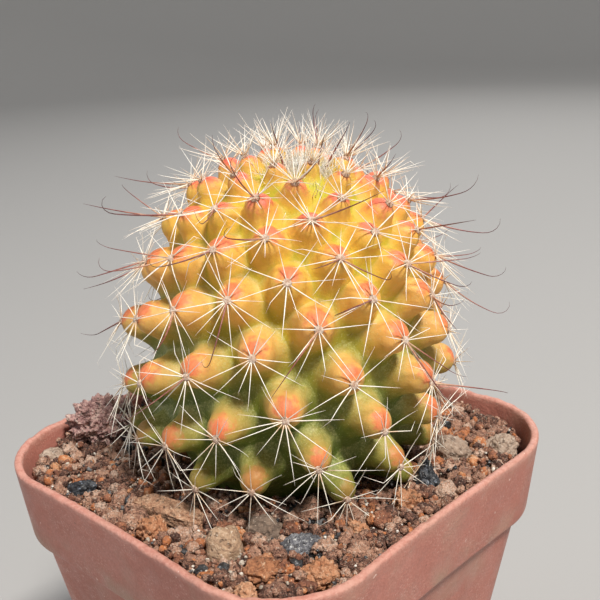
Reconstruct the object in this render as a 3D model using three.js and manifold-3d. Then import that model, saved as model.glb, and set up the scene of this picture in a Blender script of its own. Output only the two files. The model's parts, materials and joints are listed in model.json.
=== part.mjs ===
// A round cactus growing in gritty soil in a small square plant pot.
// Millimetres, +Z up. The origin is the middle of the pot's underside, and the pot's sides run along X and Y.
import * as THREE from "three";
import { mergeVertices } from "three/addons/utils/BufferGeometryUtils.js";
import Module from "manifold-3d";

const wasm = await Module();
wasm.setup();

// ---------- driving dimensions ----------
const GAP = 0.35; // kept between pieces that touch

// Pot: a thin moulded shell with a deep band round its rim.
const POT_HEIGHT = 65;
const RIM_SIDE = 70;
const BAND_HEIGHT = 13;
const BAND_FOOT_SIDE = 67.5;
const SHOULDER_SIDE = 64.6;
const BASE_SIDE = 47.5;
const RIM_CORNER = 15;
const SHOULDER_CORNER = 13.5;
const BASE_CORNER = 10;
const SIDE_HOLLOW = 0.45; // how far the middle of each side is pulled in
const WALL = 1.3;
const FLOOR = 1.8;
const LIP = 0.5; // chamfer along the rim and under the band
const DRAIN_RADIUS = 3.5;
const DRAIN_OFFSET = 13;

// Soil
const SOIL_TOP = 60.5;
const SOIL_EDGE_DROP = 0.6; // its top edge is rounded off by a slope this high
const SOIL_EDGE_WIDTH = 1.1;

// Plant: tubercle tips sit on a golden-angle spiral that is counted down from the crown.
const LEAN_X = -1.9; // degrees the plant leans, about X and then about Y
const LEAN_Y = 8.1;
const FOOT_X = 0.55; // where its axis crosses the plane of the rim
const FIRST_ANGLE = 156.4;
const DIVERGENCE = 137.55;
const FIRST_TUBERCLE = 4;
const LAST_TUBERCLE = 112;
const ROWS = 13;
const TUBERCLE_SIDES = 6;
const TUBERCLE_HEEL = 0.05; // share of its length at which a tubercle is fattest
const TUBERCLE_NOSE = 0.86; // share of its length at which its blunt end begins
const NOSE_FATNESS = 0.74;
const STEM_FINENESS = 0.2; // slivers along the seams between tubercles are merged below this

// Tubercle tips: [count from the crown, radius, height above the rim, tilt above level, length, fatness]
const TIP_STATIONS = [
  [0, 1.5, 48.9, 80, 6, 1.3],
  [8, 7.6, 47.3, 72, 7, 2.2],
  [20, 13.9, 44.6, 63, 10, 3],
  [40, 19.4, 38.5, 45, 12, 3.7],
  [60, 23.1, 30.3, 26, 12, 4],
  [80, 26.4, 18.9, 9, 12, 4],
  [100, 25, 6.4, -5, 11.5, 3.5],
  [112, 24.2, 2.6, -9, 11, 3],
];

// Core of the stem, from the crown down to the end of its root: [radius, height above the rim]
const CORE_OUTLINE = [
  [0, 45],
  [6, 43.9],
  [11.4, 40],
  [15.8, 33.5],
  [18.9, 24],
  [20, 14],
  [18.6, 5],
  [14.6, -3],
  [9, -8.5],
  [4.5, -15],
  [2, -24],
  [0, -27],
];
const CORE_SIDES = 18;

// Spines
const PAD_RADIUS = 0.85;
const PAD_RISE = 0.45;
const RADIAL_COUNT = 6;
const RADIAL_LENGTH = 8.5;
const RADIAL_LIFT = 0.32; // radians that a spine rises above its cushion's plane
const CENTRAL_LENGTH = 12;
const CENTRAL_LIFT = 1.15;
const CENTRAL_SLOT = 5; // the upper face of the cushion, of two to each radial spine, that holds the central
const STEEPEST_LIFT = 1.35;
const YOUNG_COUNT = 34; // clusters counted below this, near the crown, still stand up and have shorter spines
const YOUNG_EXTRA_LIFT = 0.75;
const YOUNG_RADIAL_LOSS = 2;
const YOUNG_CENTRAL_LOSS = 3;
const REACH_PAST = 1.2; // how far a spine that touches the next cluster runs past its middle
const SPINE_CLEARANCE = 0.5;
const SOIL_CLEARANCE = 1.5;

// ---------- solids ----------
function solidOf(geometry, matrix) {
  const bare = new THREE.BufferGeometry();
  bare.setAttribute("position", geometry.getAttribute("position").clone());
  if (geometry.index) bare.setIndex(geometry.index);
  if (matrix) bare.applyMatrix4(matrix);
  const merged = mergeVertices(bare, 1e-4);
  const vertProperties = new Float32Array(merged.attributes.position.array);
  const triVerts = new Uint32Array(merged.index.array);
  return new wasm.Manifold(new wasm.Mesh({ numProp: 3, vertProperties, triVerts }));
}

function geometryOf(solid) {
  const mesh = solid.getMesh();
  const geometry = new THREE.BufferGeometry();
  geometry.setAttribute("position", new THREE.BufferAttribute(mesh.vertProperties, 3));
  geometry.setIndex(new THREE.BufferAttribute(mesh.triVerts, 1));
  geometry.computeVertexNormals();
  return geometry;
}

// A closed skin through rings of equally many points, closed at each end by a fan from the ring's middle.
function loft(rings) {
  const count = rings[0].length;
  const positions = rings.flat().flatMap((p) => [p.x, p.y, p.z]);
  const index = [];
  for (let r = 0; r + 1 < rings.length; r++) {
    for (let i = 0; i < count; i++) {
      const a = r * count + i;
      const b = r * count + ((i + 1) % count);
      index.push(a, b, b + count, a, b + count, a + count);
    }
  }
  const ends = [rings[0], rings[rings.length - 1]];
  ends.forEach((ring, end) => {
    const hub = positions.length / 3;
    const first = end === 0 ? 0 : (rings.length - 1) * count;
    positions.push(0, 0, ring[0].z);
    for (let i = 0; i < count; i++) {
      const a = first + i;
      const b = first + ((i + 1) % count);
      index.push(...(end === 0 ? [hub, b, a] : [hub, a, b]));
    }
  });
  const geometry = new THREE.BufferGeometry();
  geometry.setAttribute("position", new THREE.Float32BufferAttribute(positions, 3));
  geometry.setIndex(index);
  return geometry;
}

// ---------- pot ----------
// One level of the pot: a square with round corners and slightly hollow sides.
function squareRing(side, corner, z) {
  const h = side / 2;
  const k = h - corner;
  const pull = h - 2 * SIDE_HOLLOW;
  const shape = new THREE.Path();
  shape.moveTo(h, -k);
  shape.quadraticCurveTo(pull, 0, h, k);
  shape.absarc(k, k, corner, 0, Math.PI / 2);
  shape.quadraticCurveTo(0, pull, -k, h);
  shape.absarc(-k, k, corner, Math.PI / 2, Math.PI);
  shape.quadraticCurveTo(-pull, 0, -h, -k);
  shape.absarc(-k, -k, corner, Math.PI, Math.PI * 1.5);
  shape.quadraticCurveTo(0, -pull, k, -h);
  shape.absarc(k, -k, corner, Math.PI * 1.5, Math.PI * 2);
  const all = shape.getPoints(3);
  const points = all.filter((p, i) => p.distanceTo(all[(i + 1) % all.length]) > 1e-6);
  return points.map((p) => new THREE.Vector3(p.x, p.y, z));
}

const SHOULDER_Z = POT_HEIGHT - BAND_HEIGHT;

function potGeometry() {
  const inset = 2 * WALL;
  const rings = [
    squareRing(BASE_SIDE, BASE_CORNER, 0),
    squareRing(SHOULDER_SIDE, SHOULDER_CORNER, SHOULDER_Z - LIP),
    squareRing(BAND_FOOT_SIDE, RIM_CORNER - LIP, SHOULDER_Z),
    squareRing(RIM_SIDE, RIM_CORNER, POT_HEIGHT - LIP),
    squareRing(RIM_SIDE - LIP, RIM_CORNER - LIP / 2, POT_HEIGHT),
    squareRing(RIM_SIDE - inset + LIP, RIM_CORNER - WALL + LIP / 2, POT_HEIGHT),
    squareRing(RIM_SIDE - inset, RIM_CORNER - WALL, POT_HEIGHT - LIP),
    squareRing(BAND_FOOT_SIDE - inset, RIM_CORNER - LIP - WALL, SHOULDER_Z + WALL),
    squareRing(SHOULDER_SIDE - inset, SHOULDER_CORNER - WALL, SHOULDER_Z + WALL - LIP),
    squareRing(BASE_SIDE - inset, BASE_CORNER - WALL, FLOOR),
  ];
  let pot = solidOf(loft(rings));
  for (const x of [-DRAIN_OFFSET, DRAIN_OFFSET]) {
    for (const y of [-DRAIN_OFFSET, DRAIN_OFFSET]) {
      const drill = new THREE.CylinderGeometry(DRAIN_RADIUS, DRAIN_RADIUS, 4 * FLOOR, 12);
      drill.rotateX(Math.PI / 2);
      pot = pot.subtract(solidOf(drill, new THREE.Matrix4().makeTranslation(x, y, 0)));
    }
  }
  return geometryOf(pot);
}

// ---------- tubercles ----------
function stationAt(count) {
  let i = 0;
  while (i + 2 < TIP_STATIONS.length && TIP_STATIONS[i + 1][0] < count) i++;
  const [a, b] = [TIP_STATIONS[i], TIP_STATIONS[i + 1]];
  const t = (count - a[0]) / (b[0] - a[0]);
  return a.map((value, column) => value + (b[column] - value) * t);
}

function tubercleAt(count) {
  const [, radius, height, tilt, length, fatness] = stationAt(count);
  const turn = THREE.MathUtils.degToRad(FIRST_ANGLE - DIVERGENCE * count);
  const rise = THREE.MathUtils.degToRad(tilt);
  const out = new THREE.Vector3(Math.cos(turn), Math.sin(turn), 0);
  const tip = out.clone().multiplyScalar(radius).setZ(height);
  const direction = out.multiplyScalar(Math.cos(rise)).setZ(Math.sin(rise));
  const base = tip.clone().addScaledVector(direction, -length);
  return { count, tip, base, direction, length, fatness };
}

const tubercles = [];
for (let count = FIRST_TUBERCLE; count <= LAST_TUBERCLE; count++) tubercles.push(tubercleAt(count));

function alongZ(direction, position) {
  const turn = new THREE.Quaternion().setFromUnitVectors(new THREE.Vector3(0, 0, 1), direction);
  return new THREE.Matrix4().compose(position, turn, new THREE.Vector3(1, 1, 1));
}

function tubercleSolid({ base, direction, length, fatness }) {
  const outline = [
    new THREE.Vector2(0, 0),
    new THREE.Vector2(fatness, TUBERCLE_HEEL * length),
    new THREE.Vector2(NOSE_FATNESS * fatness, TUBERCLE_NOSE * length),
    new THREE.Vector2(0, length),
  ];
  const geometry = new THREE.LatheGeometry(outline, TUBERCLE_SIDES);
  geometry.rotateX(Math.PI / 2);
  return solidOf(geometry, alongZ(direction, base));
}

function coreSolid(extra) {
  const outline = CORE_OUTLINE.map(([radius, height]) => new THREE.Vector2(radius, height));
  outline.reverse();
  const grown = outline.map((p) => new THREE.Vector2(p.x > 0 ? p.x + extra : 0, p.y));
  grown[0].y -= extra;
  grown[grown.length - 1].y += extra;
  const geometry = new THREE.LatheGeometry(grown, CORE_SIDES);
  geometry.rotateX(Math.PI / 2);
  return solidOf(geometry);
}

function stemGeometry() {
  const grown = wasm.Manifold.union([coreSolid(0), ...tubercles.map(tubercleSolid)]);
  return geometryOf(grown.simplify(STEM_FINENESS));
}

// ---------- plant's place ----------
const plant = new THREE.Group();
plant.position.set(FOOT_X, 0, POT_HEIGHT);
plant.rotation.set(THREE.MathUtils.degToRad(LEAN_X), THREE.MathUtils.degToRad(LEAN_Y), 0, "YXZ");
plant.updateMatrixWorld(true);

// ---------- stones and lumps lying in the soil ----------
// name, middle, full size, turn about Z in degrees, roughness of its outline, colour
const STONES = [
  ["lava_clump", [-27.8, -15.2, 64.6], [11.5, 9, 10], 44, 0.2, 0x6b5056],
  ["bark_slab", [0.8, -23.8, 62.2], [13.5, 4.6, 3.2], 12, 0.08, 0xa5683f],
  ["beige_pebble", [14, -25.2, 62.6], [6, 6.4, 6.6], 40, 0.05, 0xb79a76],
  ["dark_shard_left", [-15.6, -28.4, 61.9], [5.4, 3.6, 3.8], 25, 0.14, 0x23262c],
  ["dark_shard_right", [24.8, 7.6, 62], [7.4, 4, 4.6], -46, 0.12, 0x26262a],
  ["crusted_stone", [21.4, -17.6, 61.8], [6.2, 4.8, 3.8], 45, 0.12, 0x45464c],
  ["grey_rock", [23.2, 17, 62.4], [6.4, 6, 5.6], 10, 0.09, 0x9a8878],
  ["tan_rock", [28, 24, 62], [5.4, 5.6, 5], 60, 0.09, 0xa58466],
  ["clay_lump_left", [2.2, -28.6, 62], [5.2, 4.2, 4.6], 0, 0.12, 0xa36d45],
  ["clay_lump_front", [27.8, -20.2, 62], [6.2, 5.6, 4.6], 30, 0.12, 0xa56f50],
  ["clay_lump_right", [26, 0.4, 62], [5, 5, 5.2], 50, 0.12, 0xb06a3c],
  ["reddish_lump", [21, -24.8, 61.6], [6, 5.2, 4], 70, 0.15, 0x8d5a48],
  ["grey_brown_stone", [14.8, -18.4, 61.4], [6, 5.2, 4.8], 35, 0.1, 0x8f7460],
  ["orange_lump", [22.8, -29.6, 61.6], [4, 3.6, 3.4], 15, 0.14, 0xc8783c],
  ["amber_crumb", [25, -9, 61.6], [4.4, 3.2, 3], 20, 0.14, 0xc4703a],
  ["tan_lump", [-28.6, -25.4, 61.8], [4.2, 4.2, 3.8], 40, 0.12, 0xa8825f],
];

// A low wave over the unit sphere, different for each seed, that makes a stone of a ball.
function lumpiness(p, seed) {
  const a = Math.sin(2.1 * p.x + 1.7 * seed) * Math.cos(1.9 * p.y - seed);
  const b = Math.sin(3.3 * p.z + 2.3 * seed + 1.3 * p.x);
  return 0.6 * a + 0.4 * b;
}

function stoneGeometry(size, roughness, seed) {
  const geometry = new THREE.IcosahedronGeometry(1, 1);
  const at = geometry.getAttribute("position");
  const p = new THREE.Vector3();
  for (let i = 0; i < at.count; i++) {
    p.fromBufferAttribute(at, i);
    p.multiplyScalar(1 + roughness * lumpiness(p, seed));
    at.setXYZ(i, (p.x * size[0]) / 2, (p.y * size[1]) / 2, (p.z * size[2]) / 2);
  }
  return geometry;
}

const stones = STONES.map(([name, middle, size, turn, roughness, colour], i) => {
  const geometry = stoneGeometry(size, roughness, i + 1);
  const material = new THREE.MeshStandardMaterial({ color: colour, roughness: 0.9 });
  const mesh = new THREE.Mesh(geometry, material);
  mesh.name = name;
  mesh.position.set(...middle);
  mesh.rotation.z = THREE.MathUtils.degToRad(turn);
  mesh.updateMatrixWorld(true);
  mesh.userData.reach = Math.max(...size) / 2;
  mesh.userData.pitScale = size.map((s) => 1 + (2 * GAP) / s + 0.02);
  return mesh;
});

// ---------- soil ----------
// The space between the insides of the band at a height.
function bandInside(z) {
  const share = (z - SHOULDER_Z - WALL) / (BAND_HEIGHT - WALL - LIP);
  return BAND_FOOT_SIDE + (RIM_SIDE - BAND_FOOT_SIDE) * share - 2 * WALL;
}

function soilGeometry() {
  const inset = 2 * (WALL + GAP);
  const shelf = SHOULDER_Z + WALL;
  const corner = RIM_CORNER - LIP - WALL;
  const edge = bandInside(SOIL_TOP - SOIL_EDGE_DROP) - 2 * GAP;
  const rings = [
    squareRing(BASE_SIDE - inset, BASE_CORNER - WALL - GAP, FLOOR + GAP),
    squareRing(SHOULDER_SIDE - inset, SHOULDER_CORNER - WALL - GAP, shelf - LIP),
    squareRing(BAND_FOOT_SIDE - inset, corner, shelf + GAP),
    squareRing(edge, corner, SOIL_TOP - SOIL_EDGE_DROP),
    squareRing(edge - 2 * SOIL_EDGE_WIDTH, corner - SOIL_EDGE_WIDTH, SOIL_TOP),
  ];
  let soil = solidOf(loft(rings));
  soil = soil.subtract(coreSolid(GAP).transform(plant.matrixWorld.toArray()));
  for (const stone of stones) {
    const pit = stone.matrixWorld.clone().scale(new THREE.Vector3(...stone.userData.pitScale));
    soil = soil.subtract(solidOf(stone.geometry, pit));
  }
  return geometryOf(soil);
}

// ---------- spines ----------
function distanceBetween(a, b) {
  // Shortest distance between two segments, found by stepping along one of them.
  const p = new THREE.Vector3();
  const q = new THREE.Vector3();
  const line = new THREE.Line3(b.from, b.to);
  let least = Infinity;
  for (let i = 0; i <= 16; i++) {
    p.lerpVectors(a.from, a.to, i / 16);
    line.closestPointToPoint(p, true, q);
    least = Math.min(least, p.distanceTo(q));
  }
  return least;
}

// The cluster's woolly cushion sits just off its tubercle's tip.
function clusterAt(tubercle) {
  const { count, tip, direction } = tubercle;
  const young = Math.max(0, 1 - count / YOUNG_COUNT);
  const middle = tip.clone().addScaledVector(direction, GAP + PAD_RISE);
  return { count, direction, middle, young, row: count % ROWS, spikes: [] };
}

const clusters = tubercles.map(clusterAt);
const clusterOf = new Map(clusters.map((c) => [c.count, c]));
const placed = [];

// Along points at the next cluster down the row, and along and across span the plane of the tubercle's tip.
function frameCluster(cluster) {
  const next = clusterOf.get(cluster.count + ROWS);
  const before = clusterOf.get(cluster.count - ROWS);
  const towards = next
    ? next.middle.clone().sub(cluster.middle)
    : cluster.middle.clone().sub(before.middle);
  const out = cluster.direction;
  cluster.along = towards.clone().addScaledVector(out, -towards.dot(out)).normalize();
  cluster.across = new THREE.Vector3().crossVectors(out, cluster.along);
  if (next) {
    const length = towards.length() + REACH_PAST;
    cluster.spikes[0] = cluster.middle.clone().addScaledVector(towards.normalize(), length);
    placed.push({ row: cluster.row, from: cluster.middle, to: cluster.spikes[0] });
  }
}

function spikeTo(cluster, angle, lift, length) {
  const flat = cluster.along.clone().multiplyScalar(Math.cos(angle));
  flat.addScaledVector(cluster.across, Math.sin(angle));
  const point = cluster.middle.clone().addScaledVector(flat, length * Math.cos(lift));
  return point.addScaledVector(cluster.direction, length * Math.sin(lift));
}

function isClear(cluster, to) {
  const spike = { from: cluster.middle, to };
  const world = to.clone().applyMatrix4(plant.matrixWorld);
  if (world.z < SOIL_TOP + SOIL_CLEARANCE) return false;
  const start = cluster.middle.clone().applyMatrix4(plant.matrixWorld);
  for (const stone of stones) {
    const ball = { from: stone.position, to: stone.position };
    const reach = stone.userData.reach + SPINE_CLEARANCE;
    if (distanceBetween({ from: start, to: world }, ball) < reach) return false;
  }
  for (const other of placed) {
    if (other.row !== cluster.row && distanceBetween(spike, other) < SPINE_CLEARANCE) return false;
  }
  for (const other of clusters) {
    if (other.row === cluster.row) continue;
    const ball = { from: other.middle, to: other.middle };
    if (distanceBetween(spike, ball) < PAD_RADIUS + SPINE_CLEARANCE) return false;
  }
  for (const other of tubercles) {
    if (other.count === cluster.count) continue;
    const waist = other.tip.clone().lerp(other.base, 0.4);
    const heel = { from: waist, to: other.base };
    if (distanceBetween(spike, heel) < other.fatness + GAP) return false;
    const nose = { from: other.tip.clone().lerp(other.base, 0.1), to: waist };
    if (distanceBetween(spike, nose) < NOSE_FATNESS * other.fatness + GAP) return false;
  }
  return true;
}

// The first try is the spine as it grows. The others shorten, lift or swing it until it touches no neighbour.
function placeSpike(cluster, slot, angle, lift, length) {
  for (const share of [1, 0.8, 0.6, 0.45]) {
    for (const raise of [0, 0.15, 0.3, 0.45, 0.6]) {
      for (const swing of [0, 0.15, -0.15, 0.3, -0.3]) {
        const steep = Math.min(lift + raise, STEEPEST_LIFT);
        const point = spikeTo(cluster, angle + swing, steep, length * share);
        if (!isClear(cluster, point)) continue;
        cluster.spikes[slot] = point;
        placed.push({ row: cluster.row, from: cluster.middle, to: point });
        return;
      }
    }
  }
}

clusters.forEach(frameCluster);
for (const cluster of clusters) {
  const step = (2 * Math.PI) / RADIAL_COUNT;
  const lift = RADIAL_LIFT + YOUNG_EXTRA_LIFT * cluster.young;
  const length = RADIAL_LENGTH - YOUNG_RADIAL_LOSS * cluster.young;
  for (let i = 0; i < RADIAL_COUNT; i++) {
    if (!cluster.spikes[2 * i]) placeSpike(cluster, 2 * i, i * step, lift, length);
  }
  const central = CENTRAL_LENGTH - YOUNG_CENTRAL_LOSS * cluster.young;
  placeSpike(cluster, CENTRAL_SLOT, (CENTRAL_SLOT * step) / 2, CENTRAL_LIFT, central);
}

// The cushion is a flat faceted bead. Each spine grows out of one of its upper faces.
function clusterGeometry(cluster) {
  const { middle, direction, along, across, spikes } = cluster;
  const rimCount = 2 * RADIAL_COUNT;
  const points = [
    middle.clone().addScaledVector(direction, PAD_RISE),
    middle.clone().addScaledVector(direction, -PAD_RISE),
  ];
  for (let j = 0; j < rimCount; j++) {
    const angle = ((j - 0.5) * 2 * Math.PI) / rimCount;
    const point = middle.clone().addScaledVector(along, PAD_RADIUS * Math.cos(angle));
    points.push(point.addScaledVector(across, PAD_RADIUS * Math.sin(angle)));
  }
  const index = [];
  for (let j = 0; j < rimCount; j++) {
    const a = 2 + j;
    const b = 2 + ((j + 1) % rimCount);
    index.push(1, b, a);
    if (!spikes[j]) {
      index.push(0, a, b);
      continue;
    }
    const apex = points.length;
    points.push(spikes[j]);
    index.push(0, a, apex, a, b, apex, b, 0, apex);
  }
  const geometry = new THREE.BufferGeometry();
  const positions = points.flatMap((p) => [p.x, p.y, p.z]);
  geometry.setAttribute("position", new THREE.Float32BufferAttribute(positions, 3));
  geometry.setIndex(index);
  return geometry;
}

// ---------- wool in the growing point ----------
function crownWoolGeometry() {
  const outline = [
    new THREE.Vector2(0, 0),
    new THREE.Vector2(1.8, 0),
    new THREE.Vector2(2.3, 1),
    new THREE.Vector2(1.7, 2.3),
    new THREE.Vector2(0, 3),
  ];
  const geometry = new THREE.LatheGeometry(outline, 10);
  return geometry.rotateX(Math.PI / 2);
}

// ---------- the object ----------
function meshOf(name, geometry, color, roughness) {
  const mesh = new THREE.Mesh(geometry, new THREE.MeshStandardMaterial({ color, roughness }));
  mesh.name = name;
  return mesh;
}

const cactus = new THREE.Group();
cactus.add(meshOf("pot", potGeometry(), 0xc07a6a, 0.7));
cactus.add(meshOf("soil", soilGeometry(), 0x8a644a, 0.95));
cactus.add(...stones);

plant.add(meshOf("stem", stemGeometry(), 0xc9b23a, 0.5));
const wool = meshOf("crown_wool", crownWoolGeometry(), 0xf1ece2, 0.95);
wool.position.z = CORE_OUTLINE[0][1] + GAP;
plant.add(wool);
for (let row = 0; row < ROWS; row++) {
  const solids = clusters.filter((c) => c.row === row).map((c) => solidOf(clusterGeometry(c)));
  const name = "spine_row_" + String(row + 1).padStart(2, "0");
  plant.add(meshOf(name, geometryOf(wasm.Manifold.union(solids)), 0xe9dcc8, 0.6));
}
cactus.add(plant);

export default cactus;
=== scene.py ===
# A round cactus in gritty soil in a small square plant pot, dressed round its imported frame.
import json
import math

import bmesh
import bpy
import numpy as np
from mathutils import Matrix, Vector, noise
from mathutils.bvhtree import BVHTree


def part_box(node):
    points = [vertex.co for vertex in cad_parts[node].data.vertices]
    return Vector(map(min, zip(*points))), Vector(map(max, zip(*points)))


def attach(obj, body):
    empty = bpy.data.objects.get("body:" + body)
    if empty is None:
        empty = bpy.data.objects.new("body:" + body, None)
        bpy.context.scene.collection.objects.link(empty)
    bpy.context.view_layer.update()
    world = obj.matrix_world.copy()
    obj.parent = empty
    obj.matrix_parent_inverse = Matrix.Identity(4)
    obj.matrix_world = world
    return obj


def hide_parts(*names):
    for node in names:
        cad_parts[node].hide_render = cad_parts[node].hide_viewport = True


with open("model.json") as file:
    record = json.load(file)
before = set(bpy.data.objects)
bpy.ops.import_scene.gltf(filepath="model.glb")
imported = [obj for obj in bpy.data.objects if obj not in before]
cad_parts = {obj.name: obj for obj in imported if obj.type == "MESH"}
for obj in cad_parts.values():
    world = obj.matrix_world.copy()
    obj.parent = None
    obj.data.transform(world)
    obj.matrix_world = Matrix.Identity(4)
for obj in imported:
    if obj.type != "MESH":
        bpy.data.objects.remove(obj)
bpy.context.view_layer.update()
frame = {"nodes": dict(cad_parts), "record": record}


# ---------- camera ----------
# A hand-held close-up of the plant, taken from a little above the rim over the pot's front corner.
# Its aim and distance are in millimetres in the frame's own axes.
MM = 0.001
pot_low, pot_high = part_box("pot")
RIM_Z = pot_high.z / MM
CAMERA_AIM = Vector((-43.495, 52.379, RIM_Z)) * MM
CAMERA_DISTANCE = 216.593 * MM
CAMERA_AZIMUTH = math.radians(43.727)
CAMERA_ELEVATION = math.radians(19.299)
CAMERA_ROLL = math.radians(-2.57)
CAMERA_LENS = 54.957

camera = bpy.data.objects.new("camera", bpy.data.cameras.new("camera"))
bpy.context.scene.collection.objects.link(camera)
camera.data.lens = CAMERA_LENS
camera.data.clip_start = 5 * MM
level = math.cos(CAMERA_ELEVATION)
sideways = level * math.sin(CAMERA_AZIMUTH)
back = Vector((sideways, -level * math.cos(CAMERA_AZIMUTH), math.sin(CAMERA_ELEVATION)))
across = back.cross(Vector((0, 0, -1))).normalized()
upward = back.cross(across)
right = across * math.cos(CAMERA_ROLL) + upward * math.sin(CAMERA_ROLL)
turned_up = upward * math.cos(CAMERA_ROLL) - across * math.sin(CAMERA_ROLL)
pose = Matrix((right, turned_up, back)).transposed().to_4x4()
pose.translation = CAMERA_AIM + back * CAMERA_DISTANCE
camera.matrix_world = pose
bpy.context.scene.camera = camera
bpy.context.scene.view_settings.view_transform = "Standard"


# ---------- studio ----------
# A pale floor that sweeps up all round into a wall. A small warm key light stands high on the right,
# with a large cool fill on the left, a soft light behind and a pale sky all round.
FLOOR_REACH = 1.1
SWEEP = 0.5
WALL_TOP = 1.3


def node(tree, kind, values=(), **settings):
    """Adds a shader node. values gives its sockets plain values or other nodes' outputs."""
    made = tree.nodes.new("ShaderNode" + kind)
    for key, value in settings.items():
        setattr(made, key, value)
    for key, value in dict(values).items():
        if isinstance(value, bpy.types.NodeSocket):
            tree.links.new(value, made.inputs[key])
        else:
            made.inputs[key].default_value = value
    return made


def new_material(name, **plain):
    """A material with its Principled shader's plain sockets set. Returns it, its tree and the shader."""
    made = bpy.data.materials.new(name)
    made.use_nodes = True
    shader = made.node_tree.nodes["Principled BSDF"]
    for key, value in plain.items():
        shader.inputs[key.replace("_", " ")].default_value = value
    return made, made.node_tree, shader


def mesh_piece(name, points, faces, materials):
    """A smooth-shaded mesh object from points in millimetres."""
    mesh = bpy.data.meshes.new(name)
    mesh.from_pydata((np.asarray(points, float) * MM).tolist(), [], faces)
    for material in materials:
        mesh.materials.append(material)
    mesh.shade_smooth()
    made = bpy.data.objects.new(name, mesh)
    bpy.context.scene.collection.objects.link(made)
    return made


def revolve(profile, sides):
    """Points and faces of a profile of (radius, height) turned about Z."""
    turn = np.arange(sides) * 2 * math.pi / sides
    points = [(r * math.cos(a), r * math.sin(a), z) for r, z in profile for a in turn]
    faces = []
    for row in range(len(profile) - 1):
        for i in range(sides):
            j = (i + 1) % sides
            faces.append((row * sides + i, (row + 1) * sides + i, (row + 1) * sides + j, row * sides + j))
    return points, faces


sweep_arc = [math.radians(a) for a in range(0, 91, 6)]
floor_profile = [(0.001, 0), (0.2, 0), (0.6, 0)]
floor_profile += [(FLOOR_REACH + SWEEP * math.sin(a), SWEEP * (1 - math.cos(a))) for a in sweep_arc]
floor_profile.append((FLOOR_REACH + SWEEP, WALL_TOP))
floor_material, tree, shader = new_material("pale_floor", Roughness=0.75)
shader.inputs["Base Color"].default_value = (0.40, 0.395, 0.39, 1)
points, faces = revolve([(r / MM, z / MM) for r, z in floor_profile], 96)
floor = mesh_piece("floor", points, faces, [floor_material])


def area_light(name, place, size, power, colour):
    """A square soft light that faces the plant."""
    light = bpy.data.objects.new(name, bpy.data.lights.new(name, "AREA"))
    light.data.size = size
    light.data.energy = power
    light.data.color = colour
    light.location = place
    aim = Vector((0, 0, RIM_Z * MM)) - light.location
    light.rotation_euler = aim.to_track_quat("-Z", "Y").to_euler()
    bpy.context.scene.collection.objects.link(light)


area_light("key_light", (0.54, -0.15, 0.97), 0.15, 15, (1.0, 0.96, 0.90))
area_light("fill_light", (-0.70, -0.60, 0.45), 0.6, 2.1, (0.92, 0.96, 1.0))
area_light("back_light", (-0.35, 0.75, 0.6), 0.5, 2.5, (1.0, 0.98, 0.95))
world = bpy.data.worlds.new("studio_air")
world.use_nodes = True
world.node_tree.nodes["Background"].inputs["Color"].default_value = (0.93, 0.96, 1.0, 1)
world.node_tree.nodes["Background"].inputs["Strength"].default_value = 0.30
bpy.context.scene.world = world


# ---------- pot ----------
# A thin square nursery pot moulded in salmon-terracotta polypropylene, with a deep band round its rim.
# It is scuffed and dusty, its lip is slightly nicked, and four drain holes go through its floor.
RIM_SIDE = (pot_high.x - pot_low.x) / MM
POT_BASE_SIDE = 47.5
BAND_HEIGHT = 13
BAND_FOOT_SIDE = 67.5
SHOULDER_SIDE = 64.6
RIM_CORNER = 15
SHOULDER_CORNER = 13.5
BASE_CORNER = 10
SIDE_HOLLOW = 0.45
WALL = 1.3
POT_FLOOR = 1.8
DRAIN_RADIUS = 3.5
DRAIN_OFFSET = 13
SIDE_POINTS = 60
CORNER_POINTS = 26


def square_ring(side, corner, z):
    """One level of the pot: a square with round corners and slightly hollow sides."""
    half = side / 2
    flat = half - corner
    ring = []
    for quarter in range(4):
        turn = quarter * math.pi / 2
        cos, sin = round(math.cos(turn)), round(math.sin(turn))
        local = []
        for i in range(SIDE_POINTS):
            t = i / SIDE_POINTS
            local.append((half - 4 * SIDE_HOLLOW * t * (1 - t), flat * (2 * t - 1)))
        for i in range(CORNER_POINTS):
            a = math.pi / 2 * i / CORNER_POINTS
            local.append((flat + corner * math.cos(a), flat + corner * math.sin(a)))
        ring += [(x * cos - y * sin, x * sin + y * cos, z) for x, y in local]
    return ring


def eased(profile, steps=4):
    """Rounds each inner corner of a profile of (side, corner, height, ease) rows with a short curve."""
    rows = [np.array(profile[0][:3], float)]
    for i in range(1, len(profile) - 1):
        at = np.array(profile[i][:3], float)
        ease = profile[i][3]
        before = np.array(profile[i - 1][:3], float) - at
        after = np.array(profile[i + 1][:3], float) - at
        # Side is a full width, so half of it counts when the ease is measured.
        weight = np.array([0.5, 0, 1])
        start = at + before * min(0.45, ease / np.linalg.norm(before * weight))
        end = at + after * min(0.45, ease / np.linalg.norm(after * weight))
        for k in range(steps + 1):
            t = k / steps
            rows.append((1 - t) ** 2 * start + 2 * t * (1 - t) * at + t * t * end)
    rows.append(np.array(profile[-1][:3], float))
    return rows


def loft(rings):
    """Faces through rings of equally many points, closed at each end by a fan about a middle point."""
    count = len(rings[0])
    points = [p for ring in rings for p in ring]
    faces = []
    for r in range(len(rings) - 1):
        for i in range(count):
            a = r * count + i
            b = r * count + (i + 1) % count
            faces.append((a, b, b + count, a + count))
    for ring, first in ((rings[0], 0), (rings[-1], (len(rings) - 1) * count)):
        hub = len(points)
        points.append(tuple(np.mean(ring, axis=0)))
        for i in range(count):
            a, b = first + i, first + (i + 1) % count
            faces.append((hub, b, a) if first == 0 else (hub, a, b))
    return points, faces


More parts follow.
